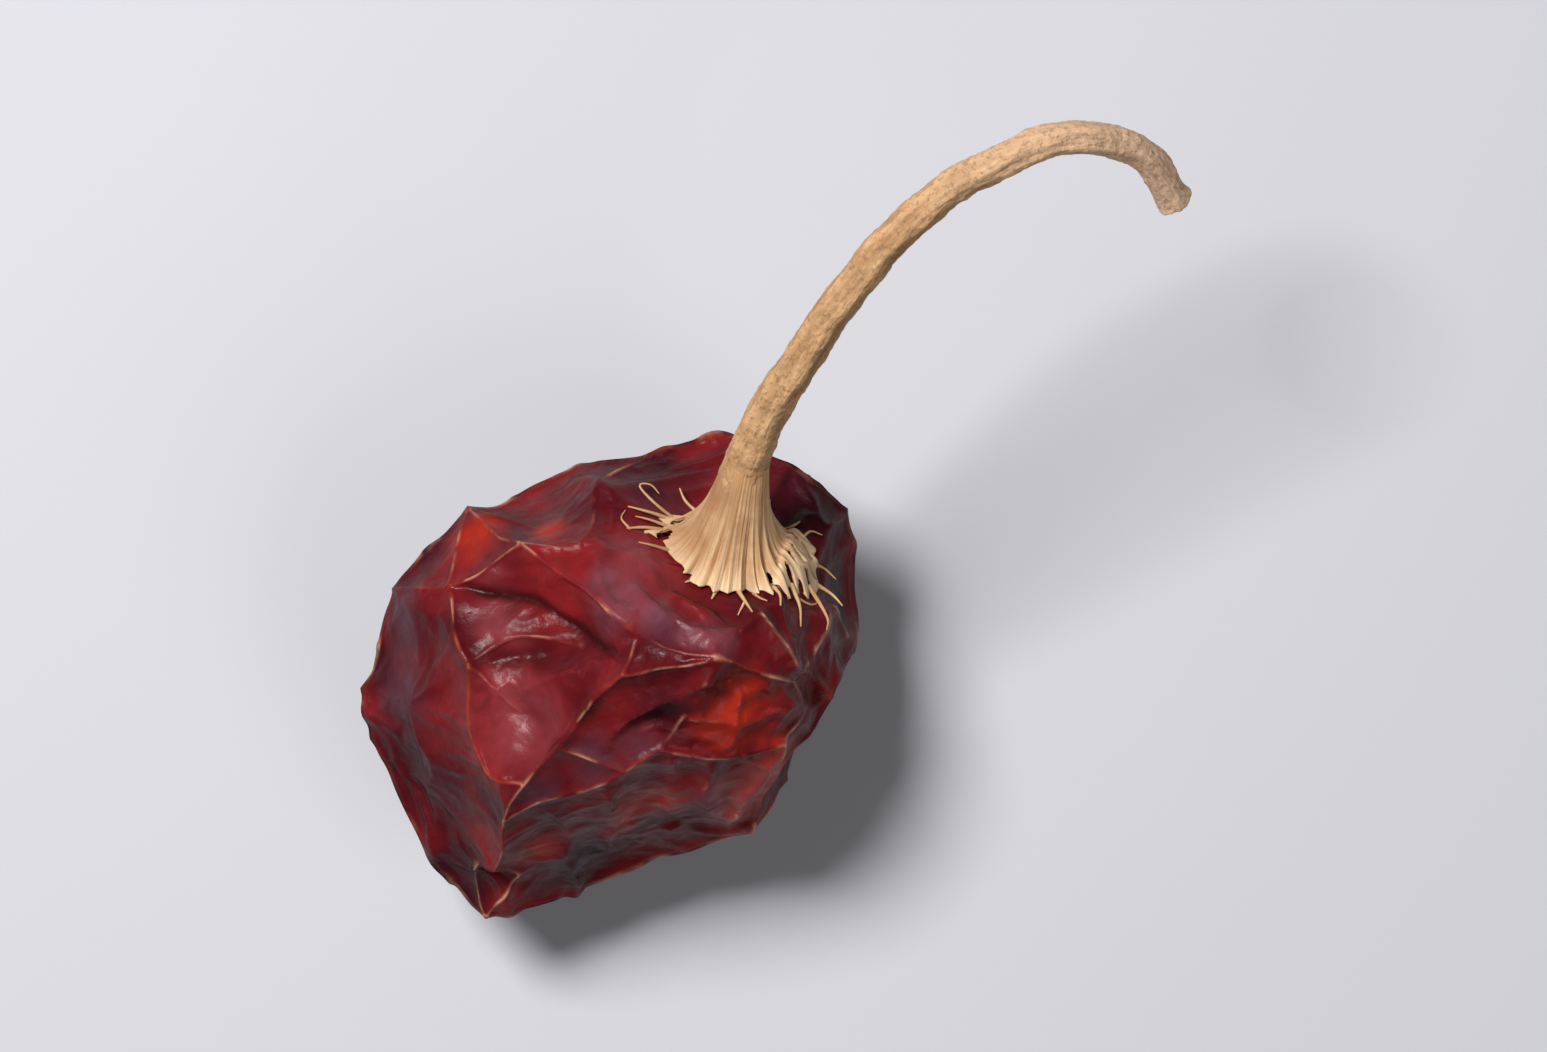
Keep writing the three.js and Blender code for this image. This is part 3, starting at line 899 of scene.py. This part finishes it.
def stalk_reach(turn, row):
    """The stalk's radius in mm: its taper, ribs, fibres and lumps."""
    station = stations[row]
    to_end = stalk_length - station
    radius = stalk_foot_radius - thinning * station / stalk_length
    radius += foot_flare * math.exp(-station / flare_fade)
    radius += end_swelling * math.exp(-to_end / swelling_fade)
    twist = turn + 0.05 * station
    rib = math.cos(5 * twist + 1.2 * math.sin(0.3 * station))
    skin_place = Vector((2.2 * math.cos(twist), 2.2 * math.sin(twist), 0.35 * station))
    fibre = noise.noise(skin_place * 1.8)
    lump = noise.noise(Vector((math.cos(turn), math.sin(turn), station * 0.8)) * 1.1)
    grit = noise.noise(Vector((3 * math.cos(turn), 3 * math.sin(turn), station * 3.0)) * 1.3)
    radius += rib_depth * rib + fibre_depth * fibre + lump_depth * lump + grit_depth * grit
    share = 1.0
    if row == 0:
        share = 0.0
    elif row > stalk_rows:
        share = end_rows[row - stalk_rows - 1][0]
    return radius * share


rod = bmesh.new()
swept_rod(rod, rod_centres, side_frames[frame_rows], up_frames[frame_rows], stalk_turns, stalk_reach)
bmesh.ops.recalc_face_normals(rod, faces=rod.faces)
rod_mesh = bpy.data.meshes.new("stalk_stem")
rod.to_mesh(rod_mesh)
rod.free()
rod_mesh.shade_smooth()
stalk_stem = bpy.data.objects.new("stalk_stem", rod_mesh)
bpy.context.scene.collection.objects.link(stalk_stem)
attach(stalk_stem, "root")
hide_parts("stalk")

# The stalk's fibres run along it, so its pattern lies in the unbent stalk: round it and along it.
centre_tree = kdtree.KDTree(len(stalk_route))
for i, spot in enumerate(stalk_route):
    centre_tree.insert(Vector(spot), i)
centre_tree.balance()
unbent = []
for place in places_of(rod_mesh):
    _, row, _ = centre_tree.find(Vector(place))
    out = place - stalk_route[row]
    unbent.append((out.dot(side_frames[row]), out.dot(up_frames[row]), row * row_step))
unbent = np.array(unbent, dtype=np.float32)
straight = rod_mesh.attributes.new("straight", "FLOAT_VECTOR", "POINT")
straight.data.foreach_set("vector", unbent.ravel())
from_foot = unbent[:, 2]
keep_value(rod_mesh, "foot", np.exp(-(((from_foot - 1.9) / 0.8) ** 2)))
# Towards the picked end the stalk is paler: partly its own weathered tan, partly painted light on the hook,
# which faces down into shade.
keep_value(rod_mesh, "pale", np.clip((from_foot - 16) / 12, 0, 1))
radii = np.hypot(unbent[:, 0], unbent[:, 1])
# Where the stalk's surface dips below its mean radius, between its ribs and lumps, it is darkened: painted
# shade.
keep_value(rod_mesh, "sunk", np.clip((0.9 - 0.16 * from_foot / stalk_length - radii) / 0.12, 0, 1))

# Dried stalk: tan, dull and grainy, with darker fibres along it and weathered grey-brown specks, painted
# shade in its dips, and a paler hook that is partly painted light.
stalk_material = bpy.data.materials.new("dried_stalk_fibre")
stalk_material.use_nodes = True
tree = stalk_material.node_tree
shader = tree.nodes["Principled BSDF"]
shader.inputs["Roughness"].default_value = 0.8
shader.inputs["Specular IOR Level"].default_value = 0.25
unbent_place = add_node(tree, "ShaderNodeAttribute", {"attribute_name": "straight"}, {}).outputs["Vector"]
drawn_out = add_node(
    tree, "ShaderNodeVectorMath", {"operation": "MULTIPLY"}, {0: unbent_place, 1: (1.0, 1.0, 0.16)}
).outputs["Vector"]
# Its patterns: where each is read, how many per mm, detail, roughness, and the values spread to 0 and 1.
stalk_patterns = {
    "lines": (drawn_out, 4.5, 5.0, 0.6, 0.36, 0.64),
    "specks": (unbent_place, 5.0, 4.0, 0.7, 0.5, 0.66),
    "clouds": (unbent_place, 0.55, 3.0, 0.5, 0.38, 0.62),
}
heights = {}
covers = {}
for name, (place, scale, detail, roughness, low, high) in stalk_patterns.items():
    noise_inputs = {"Vector": place, "Scale": scale, "Detail": detail, "Roughness": roughness}
    heights[name] = add_node(tree, "ShaderNodeTexNoise", {}, noise_inputs).outputs["Fac"]
    spread_inputs = {"Value": heights[name], "From Min": low, "From Max": high}
    covers[name] = add_node(tree, "ShaderNodeMapRange", {}, spread_inputs).outputs["Result"]
sunk = add_node(tree, "ShaderNodeAttribute", {"attribute_name": "sunk"}, {}).outputs["Fac"]
foot_share = add_node(tree, "ShaderNodeAttribute", {"attribute_name": "foot"}, {}).outputs["Fac"]
pale_and_lit_share = add_node(tree, "ShaderNodeAttribute", {"attribute_name": "pale"}, {}).outputs["Fac"]
stalk_layers = [
    (covers["clouds"], 0.6, "#a67b50"),
    (covers["lines"], 0.6, "#d3ac7f"),
    # painted shade in the dips
    (sunk, 0.5, "#7c5b3e"),
    # paler tan and painted light towards the hook
    (pale_and_lit_share, 0.7, "#ecc6a6"),
    (covers["specks"], 0.55, "#65492f"),
    (foot_share, 0.35, "#96663a"),
]
colour = srgb("#bb9067")
for cover, strength, layer_colour in stalk_layers:
    share = add_node(tree, "ShaderNodeMath", times, {0: cover, 1: strength}).outputs[0]
    mix_inputs = {0: share, 6: colour, 7: srgb(layer_colour)}
    colour = add_node(tree, "ShaderNodeMix", {"data_type": "RGBA"}, mix_inputs).outputs[2]
tree.links.new(colour, shader.inputs["Base Color"])
relief = add_node(
    tree, "ShaderNodeBump", {}, {"Height": heights["lines"], "Strength": 0.7, "Distance": 0.15 * mm}
)
pits = add_node(
    tree,
    "ShaderNodeBump",
    {},
    {"Height": heights["specks"], "Strength": 0.5, "Distance": 0.1 * mm, "Normal": relief.outputs["Normal"]},
)
tree.links.new(pits.outputs["Normal"], shader.inputs["Normal"])
rod_mesh.materials.append(stalk_material)


# ---------------------------------------------------------------------------------------------
# The table, the lights and the camera.
# ---------------------------------------------------------------------------------------------

bpy.ops.mesh.primitive_plane_add(size=2)
table = bpy.context.object
table.name = "table"
table_material = bpy.data.materials.new("table_paper")
table_material.use_nodes = True
table_shader = table_material.node_tree.nodes["Principled BSDF"]
table_shader.inputs["Base Color"].default_value = srgb("#b6b6bb")
table_shader.inputs["Roughness"].default_value = 0.8
table.data.materials.append(table_material)


def area_light(name, place, target, size, watts, colour=(1, 1, 1)):
    light = bpy.data.lights.new(name, "AREA")
    light.shape = "DISK"
    light.size = size
    light.energy = watts
    light.color = colour
    lamp = bpy.data.objects.new(name, light)
    bpy.context.scene.collection.objects.link(lamp)
    lamp.location = place
    lamp.rotation_euler = (Vector(target) - Vector(place)).to_track_quat("-Z", "Y").to_euler()
    return lamp


area_light("key", (-0.12, 0.12, 0.3), (0, 0, 0), 0.12, 1.75)
area_light("fill", (0.2, -0.18, 0.3), (0, 0, 0), 0.25, 0.4)

world = bpy.data.worlds.new("studio")
world.use_nodes = True
world.node_tree.nodes["Background"].inputs["Color"].default_value = (0.9, 0.92, 1.0, 1)
world.node_tree.nodes["Background"].inputs["Strength"].default_value = 0.05
bpy.context.scene.world = world

bpy.context.scene.view_settings.view_transform = "Standard"  # keeps the dark reds deep

low, high = cad_box
camera_data = bpy.data.cameras.new("camera")
camera_data.lens = 210
camera_data.clip_start = 0.01
camera = bpy.data.objects.new("camera", camera_data)
bpy.context.scene.collection.objects.link(camera)
centre = (Vector(low) + Vector(high)) / 2
camera.location = (centre.x, centre.y, 0.4)
bpy.context.scene.camera = camera
